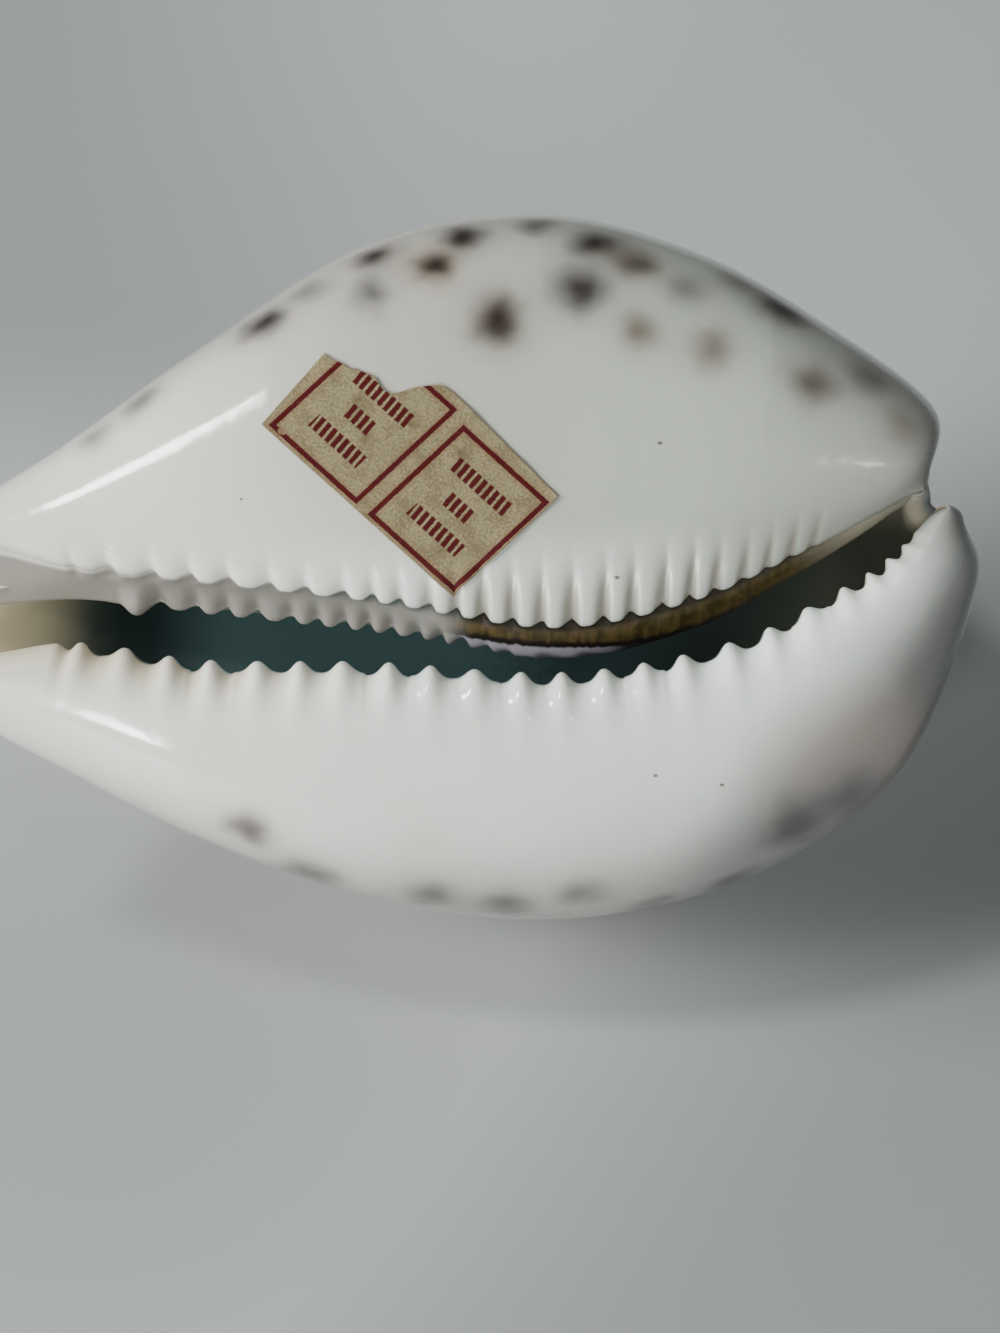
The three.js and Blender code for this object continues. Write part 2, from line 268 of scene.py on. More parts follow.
    above = distance[:, farEdgeAt:farEdgeAt + 1] - distance
    ridge, inRow = toothRidge(farEdge[:, 0], teeth["columellar"])
    style = teeth["columellar"]
    farRear = smooth(14, 27, farEdge[:, 0])[:, None]
    reachUp = mix(mix(style["reach"], style["rearReach"], rear), style["endReach"], farRear)
    depth = mix(mix(style["depth"], style["rearDepth"], rear), style["endDepth"], farRear)
    fading = np.clip(1 - np.clip(above, 0, None) / reachUp, 0, 1) ** mix(style["sharpness"], 1.5, rear)
    farGap = ((1 - ridge) * inRow)[:, None] * fading * smooth(-1.6, 0, above)
    outer = outer - outward * (depth * farGap)[:, :, None]

    ridge, inRow = toothRidge(inner[:, 0], teeth["inner"])
    reach = np.exp(-((distance - distance[:, innerAt:innerAt + 1]) / teeth["inner"]["reach"]) ** 2)
    innerGap = ((1 - ridge) * inRow)[:, None] * reach
    tongue = np.exp(-((inner[:, 0] - teeth["tongue"]["place"]) / teeth["tongue"]["half"]) ** 2)
    lift = teeth["tongue"]["height"] * tongue[:, None] * reach - teeth["inner"]["depth"] * innerGap
    outer = outer + outward * lift[:, :, None]

    # what the finish needs to know about each point
    behind = distance - distance[:, farEdgeAt:farEdgeAt + 1]
    facts = {
        "toothGap": (gap, np.repeat(gap[:, :1], gap.shape[1], axis=1) * np.append(
            under, np.zeros(gap.shape[1] - firstWall))[None, :]),
        "ribGap": (farGap, np.zeros_like(gap)),
        "behindRibs": (np.maximum(behind, 0), np.full(gap.shape, 20.0)),
        "ledge": (np.where(behind > 0, farEdge[:, None, 1] - outer[:, :, 1], 0), np.zeros_like(gap)),
        "fromLip": (distance, np.full(gap.shape, 20.0)),
        "fromRibs": (np.where(above >= 0, above, 0), np.full(gap.shape, 20.0)),
        "behindLip": (np.zeros_like(gap), np.where(
            np.arange(gap.shape[1])[None, :] < firstWall,
            np.linalg.norm(inside - tip, axis=2), 20.0)),
    }
    ring = np.concatenate([outer, inside[:, ::-1]], axis=1)
    facts = {name: np.concatenate([a, b[:, ::-1]], axis=1) for name, (a, b) in facts.items()}
    return ring, facts


def roundedRim(ring, following):
    # half a turn from the outer to the inner surface round the middle of the wall
    across, acrossNext = ring[::-1], following[::-1]
    middle = (ring + across) / 2
    out = ring - following + across - acrossNext
    out = out / np.linalg.norm(out, axis=1, keepdims=True)
    radius = np.linalg.norm(ring - middle, axis=1, keepdims=True)
    angles = steps(shell["rimSteps"]) * np.pi / 2
    return np.array([middle + (ring - middle) * np.cos(a) + out * radius * np.sin(a) for a in angles])


def deselectAll():
    if bpy.context.object and bpy.context.object.mode != "OBJECT":
        bpy.ops.object.mode_set(mode="OBJECT")
    bpy.ops.object.select_all(action="DESELECT")


def gridObject(name, points, facts=None, wraps=False):
    # a grid primitive whose rows and columns are laid out on the given points
    rows, columns = points.shape[:2]
    deselectAll()
    bpy.ops.mesh.primitive_grid_add(x_subdivisions=columns - 1, y_subdivisions=rows - 1, size=0.1)
    piece = bpy.context.object
    piece.name = piece.data.name = name
    mesh = piece.data
    mesh.vertices.foreach_set("co", (points.reshape(-1, 3) * millimetre).ravel())
    for fact, values in (facts or {}).items():
        store = mesh.attributes.new(fact, "FLOAT", "POINT")
        store.data.foreach_set("value", values.astype(np.float32).ravel())
    if wraps:
        bpy.ops.object.mode_set(mode="EDIT")
        bpy.ops.mesh.select_all(action="SELECT")
        bpy.ops.mesh.remove_doubles(threshold=2e-6)
        bpy.ops.mesh.normals_make_consistent(inside=False)
        bpy.ops.object.mode_set(mode="OBJECT")
    bpy.ops.object.shade_smooth()
    return piece


def makeShell():
    ring, facts = shellRings()
    front = roundedRim(ring[0], ring[1])[::-1]
    rear = roundedRim(ring[-1], ring[-2])
    ring = np.concatenate([front, ring, rear])
    closed = np.concatenate([ring, ring[:, :1]], axis=1)
    for name, known in facts.items():
        before = np.repeat(known[:1], len(front), axis=0)
        after = np.repeat(known[-1:], len(rear), axis=0)
        known = np.concatenate([before, known, after])
        facts[name] = np.concatenate([known, known[:, :1]], axis=1)

    # laid down on its flank, ground flat where it touches
    roll = math.radians(shell["rollDegrees"])
    turn = np.array(Matrix.Rotation(roll, 3, "X"))
    lying = closed @ turn.T
    level = lying[:, :, 2].min() + shell["restSpotDepth"]
    lying[:, :, 2] = np.maximum(lying[:, :, 2], level)
    low, high = (np.array(corner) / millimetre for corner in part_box("shell"))
    flat = lying.reshape(-1, 3)
    shift = (low + high) / 2 - (flat.min(axis=0) + flat.max(axis=0)) / 2
    shift[2] = low[2] - level
    piece = gridObject("cowrieShell", lying + shift, facts, wraps=True)
    return piece, Matrix.Translation(Vector(shift * millimetre)) @ Matrix.Rotation(roll, 4, "X")


cowrieShell, shellPlace = makeShell()
print("shell made:", len(cowrieShell.data.polygons), "faces")


def shellPoint(x, y, z=0.0):
    # from the shell's own frame, in millimetres, to the row's frame
    return shellPlace @ (Vector((x, y, z)) * millimetre)


def onShell(x, y, height=20.0):
    # the point of the shell straight below x, y of its base
    start = shellPoint(x, y, height)
    down = (shellPoint(x, y, 0) - shellPoint(x, y, 1)).normalized()
    hit, place, normal, _ = cowrieShell.ray_cast(start, down)
    if not hit:
        _, place, normal, _ = cowrieShell.closest_point_on_mesh(shellPoint(x, y, -14))
    return place, normal


sticker = {
    "corner": (-17.0, 14.4),         # its left corner in the shell's frame
    "alongStep": (0.744, -0.668),    # where its length and its width run, seen straight down on the base
    "acrossStep": (0.732, 0.682),
    "length": 21.1,
    "farEdge": [(-0.7, 6.4), (-0.2, 8.0), (0.8, 7.9), (2.4, 8.7), (3.9, 9.3), (5.1, 8.9), (5.9, 9.0),
                (6.5, 10.2), (7.6, 12.0), (8.4, 12.6), (9.6, 12.6), (21.1, 12.0)],
    "tornTo": 9.0,
    "lean": -0.11,                   # how far its short end leans out
    "thickness": 0.11,
    "gap": 0.05,
    "stepsAlong": 170,
    "stepsAcross": 96,
    "seed": 7,
}


def makeSticker():
    along01 = np.linspace(0, 1, sticker["stepsAlong"] + 1)
    across01 = np.linspace(0, 1, sticker["stepsAcross"] + 1)
    edge = np.array(sticker["farEdge"])
    rng = np.random.default_rng(sticker["seed"])
    u = along01 * sticker["length"]
    width = np.interp(u, edge[:, 0], edge[:, 1])
    torn = smooth(sticker["tornTo"] + 0.6, sticker["tornTo"] - 0.4, u)
    width = width + torn * np.convolve(rng.normal(0, 0.2, len(u) + 3), np.ones(4) / 4, "valid")
    width = width + (1 - torn) * np.convolve(rng.normal(0, 0.03, len(u) + 8), np.ones(9) / 9, "valid")
    v = width[:, None] * across01[None, :]
    leaning = sticker["lean"] * v * (1 - along01[:, None]) ** 3
    u = u[:, None] + leaning
    (ax, ay), (bx, by) = sticker["alongStep"], sticker["acrossStep"]
    x = sticker["corner"][0] + u * ax + v * bx
    y = sticker["corner"][1] + u * ay + v * by
    points = np.zeros(u.shape + (3,))
    ripple = 0.03 * np.sin(u * 1.9 + v) + 0.02 * np.sin(v * 3.1)
    edgeNear = np.minimum(np.minimum(u + 0.3, sticker["length"] - u), np.minimum(v, width[:, None] - v))
    lift = 0.1 * np.exp(-np.clip(edgeNear, 0, 9) / 0.5) * (0.5 + 0.5 * np.sin(u * 1.3 + v * 0.9))
    for i in range(points.shape[0]):
        for j in range(points.shape[1]):
            place, normal = onShell(x[i, j], y[i, j])
            height = sticker["gap"] + ripple[i, j] * 0.5 + 0.02 + lift[i, j]
            points[i, j] = np.array(place + normal * (height * millimetre)) / millimetre
    piece = gridObject("paperSticker", points.swapaxes(0, 1))
    uv = piece.data.uv_layers[0]
    corners = np.zeros(len(piece.data.loops), dtype=np.int32)
    piece.data.loops.foreach_get("vertex_index", corners)
    flat = np.stack([u.T.ravel(), v.T.ravel()], axis=1) / 25 + 0.05
    uv.data.foreach_set("uv", flat[corners].ravel())
    smoothPaper = piece.modifiers.new("settle", "SMOOTH")
    smoothPaper.factor, smoothPaper.iterations = 0.5, 6
    bpy.ops.object.modifier_apply(modifier="settle")
    wall = piece.modifiers.new("paper", "SOLIDIFY")
    wall.thickness = sticker["thickness"] * millimetre
    wall.offset = 1.0
    bpy.ops.object.modifier_apply(modifier="paper")
    return piece


paperSticker = makeSticker()
print("sticker made:", len(paperSticker.data.polygons), "faces")


class Wire:
    def __init__(self, paint, socket):
        self.paint, self.socket = paint, socket

    def calc(self, operation, *others):
        sockets = {0: self}
        for i, other in enumerate(others):
            sockets[i + 1] = other
        return self.paint.wire("ShaderNodeMath", {"operation": operation}, sockets)

    def flipped(self, operation, other):
        return self.paint.wire("ShaderNodeMath", {"operation": operation}, {0: other, 1: self})

    def __add__(self, other):
        return self.calc("ADD", other)

    def __radd__(self, other):
        return self.flipped("ADD", other)

    def __sub__(self, other):
        return self.calc("SUBTRACT", other)

    def __rsub__(self, other):
        return self.flipped("SUBTRACT", other)

    def __mul__(self, other):
        return self.calc("MULTIPLY", other)

    def __rmul__(self, other):
        return self.flipped("MULTIPLY", other)

    def __truediv__(self, other):
        return self.calc("DIVIDE", other)


class Paint:
    def __init__(self, name, constants):
        self.material = bpy.data.materials.new(name)
        self.material.use_nodes = True
        self.tree = self.material.node_tree
        self.tree.nodes.clear()
        self.shader = self.node("ShaderNodeBsdfPrincipled", {}, constants)
        out = self.node("ShaderNodeOutputMaterial", {}, {})
        self.tree.links.new(self.shader.outputs[0], out.inputs["Surface"])

    def node(self, kind, settings, sockets):
        made = self.tree.nodes.new(kind)
        for name, value in settings.items():
            setattr(made, name, value)
        for key, value in sockets.items():
            if isinstance(value, Wire):
                self.tree.links.new(value.socket, made.inputs[key])
            else:
                made.inputs[key].default_value = value
        return made

    def wire(self, kind, settings, sockets, out=0):
        return Wire(self, self.node(kind, settings, sockets).outputs[out])

    def feed(self, name, value):
        self.tree.links.new(value.socket, self.shader.inputs[name])

    def mix(self, factor, a, b):
        settings = {"data_type": "RGBA", "clamp_factor": True}
        return self.wire("ShaderNodeMix", settings, {0: factor, 6: colour(a), 7: colour(b)}, 2)

    def step(self, value, low, high):
        # 0 below low, 1 above high, smooth between; low may be the larger
        sockets = {"Value": value, "From Min": low, "From Max": high}
        return self.wire("ShaderNodeMapRange", {"interpolation_type": "SMOOTHSTEP"}, sockets)

    def fact(self, name):
        settings = {"attribute_name": name, "attribute_type": "GEOMETRY"}
        return self.wire("ShaderNodeAttribute", settings, {}, "Fac")

    def noise(self, where, scale, detail=2.0, out="Fac"):
        sockets = {"Vector": where, "Scale": scale, "Detail": detail}
        return self.wire("ShaderNodeTexNoise", {}, sockets, out)

    def vector(self, operation, *sockets):
        out = "Value" if operation in ("DISTANCE", "LENGTH", "DOT_PRODUCT") else 0
        return self.wire("ShaderNodeVectorMath", {"operation": operation}, dict(enumerate(sockets)), out)

    def split(self, vector):
        parts = self.node("ShaderNodeSeparateXYZ", {}, {0: vector})
        return [Wire(self, parts.outputs[i]) for i in range(3)]

    def bump(self, height, strength, distance):
        sockets = {"Height": height, "Strength": strength, "Distance": distance}
        self.feed("Normal", self.wire("ShaderNodeBump", {}, sockets))

    def inShellFrame(self):
        # object coordinates turned back into the shell's own frame, in millimetres
        place = shellPlace.inverted()
        here = self.wire("ShaderNodeTexCoord", {}, {}, "Object")
        sockets = {"Vector": here, "Location": place.translation / millimetre,
                   "Rotation": place.to_euler(), "Scale": (1 / millimetre,) * 3}
        return self.wire("ShaderNodeMapping", {"vector_type": "POINT"}, sockets)


def colour(value):
    return value if isinstance(value, Wire) else (*value, 1.0)


porcelain = {
    "white": (0.84, 0.83, 0.77),
    "coolWhite": (0.775, 0.85, 0.80),
    "veilAndShade": (0.41, 0.39, 0.35),          # the coloured layer showing faintly through the enamel, with painted shade on the flanks
    "backGround": (0.60, 0.58, 0.54),
    "backTint": (0.52, 0.36, 0.22),
    "spot": (0.020, 0.014, 0.011),
    "halo": (0.23, 0.16, 0.115),
    "greyHalo": (0.25, 0.255, 0.26),
    "inside": (0.58, 0.74, 0.75),
    "insideShade": (0.085, 0.10, 0.095),
    "bellyShadeFront": (0.50, 0.485, 0.425),   # painted shade on the columellar flank, which turns away from the light
    "bellyShade": (0.455, 0.50, 0.445),
    "rearShade": (0.24, 0.245, 0.235),
    "ribShade": (0.29, 0.275, 0.225),
    "glow": (0.009, 0.017, 0.0175),        # painted glow standing in for daylight that comes in through the shell's own wall
    "glowRear": (0.002, 0.003, 0.003),
    "canalGlow": (0.17, 0.155, 0.105),
    "rearCanalGlow": (0.012, 0.011, 0.008),
    "canal": (0.78, 0.70, 0.50),
    "rearCanal": (0.36, 0.34, 0.26),
    # grey painted as shade in the fossula's hollow
    "fossula": (0.31, 0.292, 0.262),
    "ledge": (0.28, 0.26, 0.29),
    "band": (0.036, 0.024, 0.006),
    "bandPale": (0.085, 0.060, 0.019),
    # the whorl's own dark brown, also used as painted shade
    "bandDarkAndShade": (0.010, 0.006, 0.004),
    "dirt": (0.05, 0.045, 0.03),
    "cream": (0.62, 0.565, 0.41),
    "blush": (0.40, 0.325, 0.285),
    "roughness": 0.10,
    # x, y in the shell's frame, radius, darkness, brownness
    "spots": [
        (-0.6, 30.5, 3.1, 1.0, 0.3), (-3.1, 27.9, 2.7, 0.96, 0.9), (-7.9, 28.7, 2.9, 0.9, 0.3),
        (-8.2, 25.3, 2.9, 0.68, 0.1), (-17.3, 23.2, 3.3, 0.92, 0.2), (-13.2, 26.0, 2.6, 0.5, 0.1),
        (-27.5, 16.4, 2.6, 0.55, 0.1), (-31.0, 13.6, 2.2, 0.45, 0.1), (2.2, 23.3, 3.6, 0.95, 0.6),
        (5.6, 31.6, 2.6, 0.7, 0.2), (10.8, 29.8, 3.6, 1.0, 0.3), (13.9, 28.0, 2.9, 0.75, 0.7),
        (9.2, 25.7, 3.4, 0.92, 0.2), (18.3, 26.0, 3.0, 0.5, 0.3), (14.2, 22.2, 2.7, 0.6, 0.9),
        (20.0, 20.8, 2.8, 0.55, 0.9), (26.0, 24.4, 3.4, 0.92, 0.2), (28.4, 18.1, 3.0, 0.7, 0.6),
        (33.3, 18.3, 3.2, 0.6, 0.3), (36.0, 14.4, 2.8, 0.35, 0.8), (22.5, 26.6, 2.8, 0.45, 0.2),
        (-18.4, -19.1, 2.8, 0.68, 0.6), (-13.4, -23.2, 3.4, 0.70, 0.3), (-2.9, -25.0, 3.4, 0.68, 0.4),
        (3.0, -25.9, 3.6, 0.72, 0.4), (9.6, -24.9, 3.1, 0.52, 0.5), (15.5, -26.0, 2.9, 0.65, 0.4),
        (22.2, -24.0, 3.4, 0.85, 0.2), (27.7, -18.9, 4.6, 0.85, 0.2), (31.9, -16.6, 5.0, 0.7, 0.0),
    ],
    "flecks": [
        (15.7, 12.9, 0.16), (-18.6, 8.3, 0.10), (12.2, 1.9, 0.16), (15.4, -14.4, 0.14),
        (20.9, -15.2, 0.14)],
}


def backSpots(paint, ragged, cell, seed, low, high):
    # round blotches of uneven size, crowded over the back
    moved = paint.vector("ADD", ragged, (seed, seed * 0.7, seed * 1.3))
    sockets = {"Vector": moved, "Scale": 1 / cell, "Randomness": 0.85}
    field = paint.node("ShaderNodeTexVoronoi", {"voronoi_dimensions": "3D", "feature": "F1"}, sockets)
    vary, _, _ = paint.split(Wire(paint, field.outputs["Color"]))
    return paint.step(Wire(paint, field.outputs["Distance"]) + vary * 0.22, high, low)


def apertureSkin(paint, skin, here, x):
    look = porcelain
    ribGap = paint.fact("ribGap")
    behindRibs = paint.fact("behindRibs")
    behindLip = paint.fact("behindLip")
    grain = paint.noise(here, 1.3, 4.0)
    streaks = paint.noise(paint.vector("MULTIPLY", here, (1.6, 0.25, 0.25)), 1.0, 2.0)
    rearward = paint.step(x, -3.0, 0.5)
    ledge = paint.fact("ledge") + (streaks - 0.5) * 0.5
    width = paint.step(x, 6.0, 18.0) * 0.9 + 1.15

    band = paint.mix(paint.step(streaks * 0.6 + grain * 0.4, 0.40, 0.62), look["bandPale"], look["band"])
    # near-black just under the columellar edge and beyond the whorl's limb: the whorl's own dark brown and
    # painted shade
    band = paint.mix(paint.step(ledge, 0.45, 0.1) * 0.8, band, look["bandDarkAndShade"])
    band = paint.mix(paint.step(ledge - width, -0.15, 0.2), band, look["bandDarkAndShade"])
    lavender = paint.step(ledge - width, 0.4, 0.6) * paint.step(x, 15.0, 9.0)
    band = paint.mix(lavender, band, look["ledge"])
    # painted shade: near-black just under the front columellar teeth, grey over the fossula's hollow
    shaded = paint.step(behindRibs, 1.8, 0.4) * paint.step(x, -18.0, -8.0)
    fossula = paint.mix(shaded, look["fossula"], look["insideShade"])
    band = paint.mix(paint.step(x, 26.0, 34.0), band, look["rearCanal"])
    columella = paint.mix(rearward, fossula, band)
    fromWhite = paint.step(behindRibs, mixWire(rearward, 0.04, 0.02), mixWire(rearward, 0.7, 0.5))
    skin = paint.mix(fromWhite, skin, columella)

    # painted shade inside the aperture: teal where it opens, near-black deeper in towards the rear and the
    # front
    dark = paint.mix(paint.step(x + grain * 5, 1.0, 13.0), look["inside"], look["insideShade"])
    dark = paint.mix(paint.step(x, -21.0, -29.0), dark, look["insideShade"])
    dark = paint.mix(paint.step(x, -30.5, -37.0), dark, look["canal"])
    dark = paint.mix(paint.step(x, 20.0, 34.0), dark, look["rearCanal"])
    skin = paint.mix(paint.step(behindRibs, 7.0, 8.5), skin, dark)
    skin = paint.mix(paint.step(behindLip, 0.8, 4.0), skin, dark)
    # painted shade in the gaps between the rear columellar teeth
    return paint.mix(paint.step(ribGap + grain * 0.3, 0.92, 1.2) * rearward * 0.8, skin, look["bandDarkAndShade"])


# painted glow in the aperture and the canals, in place of light that reaches them
def insideGlow(paint, x):
    look = porcelain
    within = paint.step(paint.fact("behindRibs"), 7.0, 8.5).calc(
        "MAXIMUM", paint.step(paint.fact("behindLip"), 0.8, 4.0))
    glow = paint.mix(paint.step(x, 8.0, 24.0), look["glow"], look["glowRear"])
    glow = paint.mix(paint.step(x, -22.0, -30.0) * 0.75, glow, look["glowRear"])
    glow = paint.mix(paint.step(x, -32.5, -39.0), glow, look["canalGlow"])
    glow = paint.mix(paint.step(x, 28.0, 37.0), glow, look["rearCanalGlow"])
    return paint.mix(within, (0.0, 0.0, 0.0), glow)


def mixWire(factor, a, b):
    return factor * (b - a) + a


def porcelainFinish():
    look = porcelain
    paint = Paint("cowriePorcelain", {
        "Roughness": look["roughness"], "IOR": 1.53, "Coat Weight": 0.5, "Coat Roughness": 0.04,
        "Subsurface Weight": 0.12, "Subsurface Scale": 0.0015, "Emission Strength": 1.0})
    here = paint.inShellFrame()
    wobble = paint.vector("SUBTRACT", paint.noise(here, 0.22, 2.0, "Color"), (0.5, 0.5, 0.5))
    ragged = paint.vector("MULTIPLY_ADD", wobble, (2.4, 2.4, 2.4), here)
    x, y, z = paint.split(here)

    # white enamel, a little warmer to the front and cooler to the rear
    cloud = paint.noise(here, 0.06, 2.0)
    white = paint.mix(paint.step(x + cloud * 30, -20, 45), look["white"], look["coolWhite"])
    # darker towards the flanks: partly the coloured layer under the enamel, partly painted shade
    veilAndShade = paint.step(z + cloud * 6 + y * 0.05 - x * 0.03, 2.5, -8.0)
    white = paint.mix(veilAndShade * 0.95, white, look["veilAndShade"])
    # painted shade on the columellar flank, deeper towards the rear
    bellyShade = paint.step(y + cloud * 4, 2.0, 9.0) * paint.step(x + y * 0.6, -24.0, 6.0)
    bellyShadeTone = paint.mix(paint.step(x, -8.0, 14.0), look["bellyShadeFront"], look["bellyShade"])
    bellyShadeTone = paint.mix(paint.step(x, 16.0, 44.0) * 0.8, bellyShadeTone, look["rearShade"])
    white = paint.mix(bellyShade * 0.95, white, bellyShadeTone)
    fromRibs = paint.fact("fromRibs")
    # painted shade among the columellar ribs, deepest in the gaps between them
    shadeAmongRibs = paint.step(fromRibs, 9.0, 2.0) * paint.step(x, -10.0, 4.0)
    white = paint.mix(shadeAmongRibs * 0.34, white, look["ribShade"])
    shadeBetweenRibs = paint.step(paint.fact("ribGap"), 0.0, 0.34) * paint.step(x, -12.0, 2.0)
    white = paint.mix(shadeBetweenRibs * 0.85, white, look["ribShade"])
    # painted shade on the rear labral flank, which turns away from the light
    shadedFlank = paint.step(x * 0.75 - y * 0.6 + cloud * 3, 24.5, 33.0)
    white = paint.mix(shadedFlank, white, look["rearShade"])
    away = paint.vector("DISTANCE", paint.vector("MULTIPLY", here, (0.62, 1.0, 0.5)), (20.5, -13.5, -3.0))
    white = paint.mix(paint.step(away, 9.0, 2.0) * 0.6, white, look["blush"])

    # the back: a cream ground, crowded with spots of two depths
    onBack = paint.step(z + cloud * 6, -9.0, -19.0)
    tinted = paint.step(paint.noise(here, 0.11, 3.0), 0.35, 0.7)
    ground = paint.mix(tinted, look["backGround"], look["backTint"])
    skin = paint.mix(onBack * 0.85, white, ground)
    deep = paint.step(z + cloud * 5, -11.0, -18.0)
    skin = paint.mix(backSpots(paint, ragged, 6.4, 3.1, 0.22, 0.66) * deep * 0.75, skin, look["greyHalo"])
    skin = paint.mix(backSpots(paint, ragged, 5.9, 11.7, 0.32, 0.74) * deep * 0.85, skin, look["halo"])
    skin = paint.mix(backSpots(paint, ragged, 5.9, 11.7, 0.26, 0.58) * deep * 0.98, skin, look["spot"])

    # the spots that show beside the base, each where it is
    for spotX, spotY, radius, darkness, brownness in look["spots"]:
        place, _ = onShell(spotX, spotY)
        centre = shellPlace.inverted() @ place / millimetre
        away = paint.vector("DISTANCE", ragged, centre)
        halo = tuple(mix(g, b, brownness) for g, b in zip(look["greyHalo"], look["halo"]))
        core = tuple(mix(h * 0.55, s, darkness ** 2) for s, h in zip(look["spot"], halo))
        skin = paint.mix(paint.step(away, radius * 1.55, 0.0) * (0.8 * darkness), skin, halo)
        skin = paint.mix(paint.step(away, radius * 1.02, 0.0) * min(1.0, 1.15 * darkness), skin, core)
    for spotX, spotY, radius in look["flecks"]:
        place, _ = onShell(spotX, spotY)
        centre = shellPlace.inverted() @ place / millimetre
        away = paint.vector("DISTANCE", paint.vector("MULTIPLY", here, (0.7, 1.0, 1.0)),
                            (centre.x * 0.7, centre.y, centre.z))
        skin = paint.mix(paint.step(away, radius * 1.3, radius * 0.6) * 0.8, skin, look["dirt"])

    # cream between the front teeth, and darker deep in the gaps between the middle ones
    gap = paint.fact("toothGap")
    fine = paint.noise(here, 2.4, 4.0)
    fromLip = paint.fact("fromLip")
    creamGap = paint.step(gap, 0.02, 0.4) * paint.step(x, -4.0, -24.0)
    skin = paint.mix(creamGap * 0.8, skin, look["cream"])
    creamLip = paint.step(fromLip + cloud * 3, 8.0, 2.0) * paint.step(x, -18.0, -33.0)
    skin = paint.mix(creamLip * 0.8, skin, look["cream"])
    skin = apertureSkin(paint, skin, here, x)
    deepGapDark = paint.step(gap + fine * 0.5, 0.98, 1.2) * paint.step(x, -14.0, -6.0) * paint.step(x, 20.0, 8.0)
    skin = paint.mix(deepGapDark * 0.6, skin, look["dirt"])
    paint.feed("Base Color", skin)

    # the gloss is worn off most teeth and all of the inside
    beyondMiddle = paint.step(x, -2.0, -6.0).calc("MAXIMUM", paint.step(x, 11.0, 15.0))
    dull = paint.step(fromLip, 8.0, 5.5) * beyondMiddle
    dull = dull.calc("MAXIMUM", paint.step(fromRibs, 9.0, 5.0) * paint.step(x, -14.0, -4.0) * 0.8)
    dull = dull.calc("MAXIMUM", paint.step(paint.fact("behindRibs"), 0.1, 0.6))
    paint.feed("Roughness", paint.step(fine, 0.2, 0.9) * 0.06 + dull * 0.28 + look["roughness"])
    paint.feed("Coat Weight", 0.5 - dull * 0.5)
    paint.feed("Emission Color", insideGlow(paint, x))
    paint.bump(paint.noise(here, 0.30, 2.0), 0.3, 0.0002)
    return paint.material


paper = {
    "tan": (0.165, 0.135, 0.072),
    "pale": (0.285, 0.245, 0.14),
    "stain": (0.085, 0.062, 0.032),
    "red": (0.060, 0.0015, 0.003),
    "bleed": (0.20, 0.085, 0.05),
    "cells": [(0.7, 9.95, 0.6, 11.5), (11.6, 20.65, 0.6, 10.9)],  # from and to, along and across
    "lineWidth": 0.44,
    "rows": [(3.2, 5.3), (5.75, 2.7), (8.3, 5.9)],  # place across the cell and length of each row of marks
    "markHeight": 1.35,
    "markPitch": 0.66,
    "stains": [(6.6, 5.2, 1.1), (3.9, 6.9, 0.7), (8.4, 8.2, 0.8), (12.8, 9.2, 0.9), (17.6, 2.2, 1.2)],
}


def paperFinish():
    look = paper
    paint = Paint("agedPaper", {"Roughness": 0.7, "IOR": 1.45, "Specular IOR Level": 0.35})
    uv = paint.wire("ShaderNodeUVMap", {}, {})
    here = paint.vector("MULTIPLY", paint.vector("SUBTRACT", uv, (0.05, 0.05, 0.0)), (25.0, 25.0, 0.0))
    u, v, _ = paint.split(here)
    speckle = paint.noise(here, 4.5, 4.0)
    cloud = paint.noise(here, 0.55, 4.0)
    worn = paint.noise(here, 2.2, 3.0)
    skin = paint.mix(paint.step(speckle * 0.55 + cloud * 0.45, 0.40, 0.60), look["tan"], look["pale"])
    skin = paint.mix(paint.step(cloud, 0.52, 0.78) * 0.5, skin, look["stain"])
    for su, sv, radius in look["stains"]:
        away = paint.vector("DISTANCE", here, (su, sv, 0.0)) + (worn - 0.5) * 1.6
        strength = paint.step(away, radius, 0.0) * paint.step(speckle, 0.35, 0.6) * 0.8
        skin = paint.mix(strength, skin, look["stain"])
    ink = None
    bleed = None
    uu = u + (worn - 0.5) * 0.12
    vv = v + (worn - 0.5) * 0.12
    for low, high, near, far in look["cells"]:
        middle = (low + high) / 2
        aside = (uu - middle).calc("ABSOLUTE") - (high - low) / 2
        across = (vv - (near + far) / 2).calc("ABSOLUTE") - (far - near) / 2
        rim = aside.calc("MAXIMUM", across).calc("ABSOLUTE")
        line = paint.step(rim, look["lineWidth"] * 0.60, look["lineWidth"] * 0.40)
        soft = paint.step(rim, look["lineWidth"] * 1.7, look["lineWidth"] * 0.4)
        stroke = ((uu + vv * 0.12 - middle + 66 * look["markPitch"]) / look["markPitch"]).calc("FRACT")
        dash = paint.step((stroke - 0.5).calc("ABSOLUTE"), 0.38, 0.28)
        for place, length in look["rows"]:
            inside = paint.step((uu - middle).calc("ABSOLUTE"), length / 2 + 0.05, length / 2 - 0.05)
            level = paint.step((vv - place).calc("ABSOLUTE"), look["markHeight"] / 2 + 0.07,
                               look["markHeight"] / 2 - 0.07)
            line = line.calc("MAXIMUM", inside * level * dash)
        ink = line if ink is None else ink.calc("MAXIMUM", line)
        bleed = soft if bleed is None else bleed.calc("MAXIMUM", soft)
    chipped = paint.vector("DISTANCE", here, (1.6, 0.8, 0.0))
    ink = ink * paint.step(chipped, 0.25, 0.45) * paint.step(worn + speckle * 0.3, 0.34, 0.46)
    skin = paint.mix(bleed * 0.35, skin, look["bleed"])
    skin = paint.mix(ink, skin, look["red"])
    paint.feed("Base Color", skin)
    paint.bump(speckle, 0.5, 0.0001)
    return paint.material


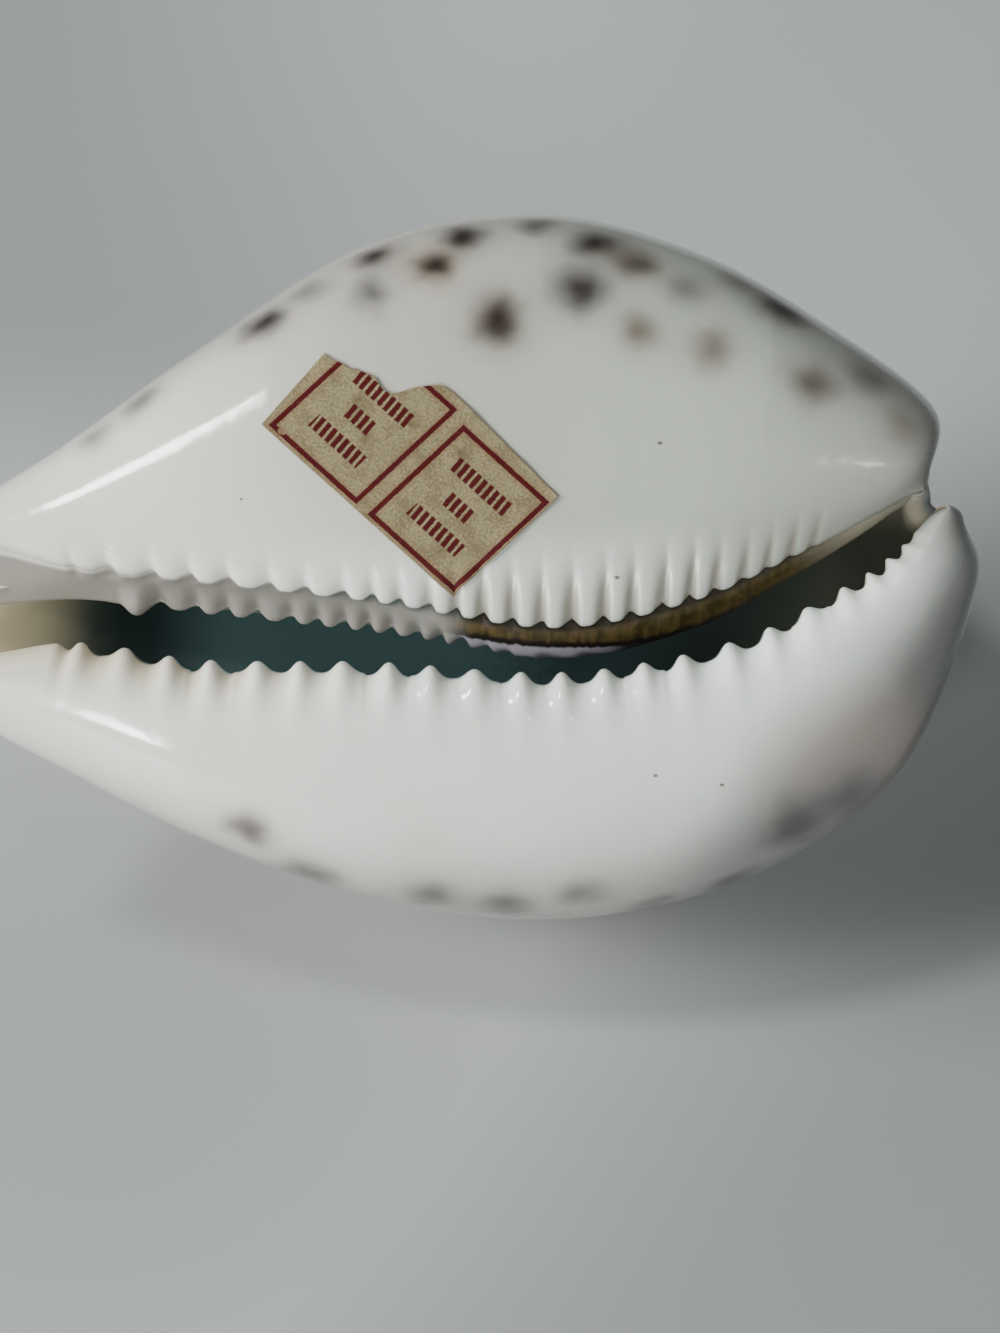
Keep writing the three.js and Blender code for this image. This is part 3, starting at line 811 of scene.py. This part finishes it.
floorLook = {
    "size": 1.6,
    "pale": (0.64, 0.675, 0.695),
    "floorShade": (0.30, 0.32, 0.33),
    "roughness": 0.42,
    "shadeSide": (-0.044, -0.032, 0.0),   # middle of a painted shadow beside the shell
    "shadeReach": 0.075,
}


def makeFloor():
    deselectAll()
    bpy.ops.mesh.primitive_plane_add(size=floorLook["size"])
    table = bpy.context.object
    table.name = table.data.name = "tableTop"
    paint = Paint("tablePaint", {"Specular IOR Level": 0.35})
    here = paint.wire("ShaderNodeTexCoord", {}, {}, "Object")
    cloud = paint.noise(here, 6.0, 3.0)
    x, y, _ = paint.split(here)
    # painted light and shade on the table: darker to the back left, towards the front right and in a
    # painted shadow beside the shell
    left = paint.step(x + y * 0.35 + (cloud - 0.5) * 0.02, 0.06, -0.035) * paint.step(y, 0.015, 0.07)
    near = paint.step(x * 1.2 - y + (cloud - 0.5) * 0.02, -0.02, 0.08)
    shadowBeside = paint.step(paint.vector("DISTANCE", here, floorLook["shadeSide"]),
                          floorLook["shadeReach"], 0.01) * 0.8
    floorShade = left.calc("MAXIMUM", near).calc("MAXIMUM", shadowBeside) * 0.72 + 0.28
    paint.feed("Base Color", paint.mix(floorShade, floorLook["pale"], floorLook["floorShade"]))
    paint.feed("Roughness", paint.noise(here, 900.0, 2.0) * 0.1 + floorLook["roughness"])
    table.data.materials.append(paint.material)


def dress(piece, material, node):
    piece.data.materials.clear()
    piece.data.materials.append(material)
    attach(piece, "root")
    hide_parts(node)


dress(cowrieShell, porcelainFinish(), "shell")
dress(paperSticker, paperFinish(), "paper_label")
makeFloor()
print("finishes made")

view = {
    "elevation": 46.0,
    "distance": 270.0,
    "aim": (2.6, -5.4, 0.0),     # in the shell's frame
    "tall": 109.3,               # millimetres that the picture's height spans at that distance
}

lamps = [  # direction it shines from, distance, size, power, colour, whether the gloss shows it
    {"name": "window", "from": (-0.44, -0.06, 0.90), "away": 0.80, "size": (0.12, 0.12), "power": 2.2,
     "tint": (1.0, 0.99, 0.96), "inGloss": True},
    {"name": "skyLight", "from": (-0.88, -0.16, 0.40), "away": 0.80, "size": (0.40, 0.40), "power": 9.6,
     "tint": (1.0, 1.0, 0.985), "inGloss": False},
    {"name": "windowLow", "from": (-0.42, -0.84, 0.24), "away": 0.80, "size": (0.15, 0.14), "power": 4.0,
     "tint": (1.0, 1.0, 0.98), "inGloss": True},
    {"name": "lampRight", "from": (0.33, -0.55, 0.77), "away": 0.8, "size": (0.07, 0.05), "power": 0.26,
     "tint": (1.0, 1.0, 0.98), "inGloss": True},
]


room = {
    "tint": (0.84, 0.87, 0.86),
    "strength": 0.155,
}


def makeCamera():
    raised = math.radians(view["elevation"])
    aim = shellPoint(*view["aim"])
    away = Vector((0, -math.cos(raised), math.sin(raised)))
    lens = bpy.data.cameras.new("camera")
    camera = bpy.data.objects.new("camera", lens)
    bpy.context.scene.collection.objects.link(camera)
    camera.location = aim + away * view["distance"] * millimetre
    camera.rotation_euler = (math.pi / 2 - raised, 0, 0)
    lens.lens = 36 * view["distance"] / view["tall"]
    lens.clip_start = 0.01
    bpy.context.scene.camera = camera


def makeLamps():
    middle = shellPoint(0, 0, -15)
    for lamp in lamps:
        light = bpy.data.lights.new(lamp["name"], "AREA")
        light.shape = "RECTANGLE"
        light.size, light.size_y = lamp["size"]
        light.energy = lamp["power"]
        light.color = lamp["tint"]
        body = bpy.data.objects.new(lamp["name"], light)
        bpy.context.scene.collection.objects.link(body)
        away = Vector(lamp["from"]).normalized()
        body.location = middle + away * lamp["away"]
        body.rotation_euler = away.to_track_quat("Z", "Y").to_euler()
        body.visible_glossy = lamp["inGloss"]
    world = bpy.data.worlds.new("room")
    world.use_nodes = True
    background = world.node_tree.nodes["Background"]
    background.inputs["Color"].default_value = colour(room["tint"])
    background.inputs["Strength"].default_value = room["strength"]
    bpy.context.scene.world = world


makeCamera()
makeLamps()
print("camera and lights made")

bpy.context.view_layer.update()
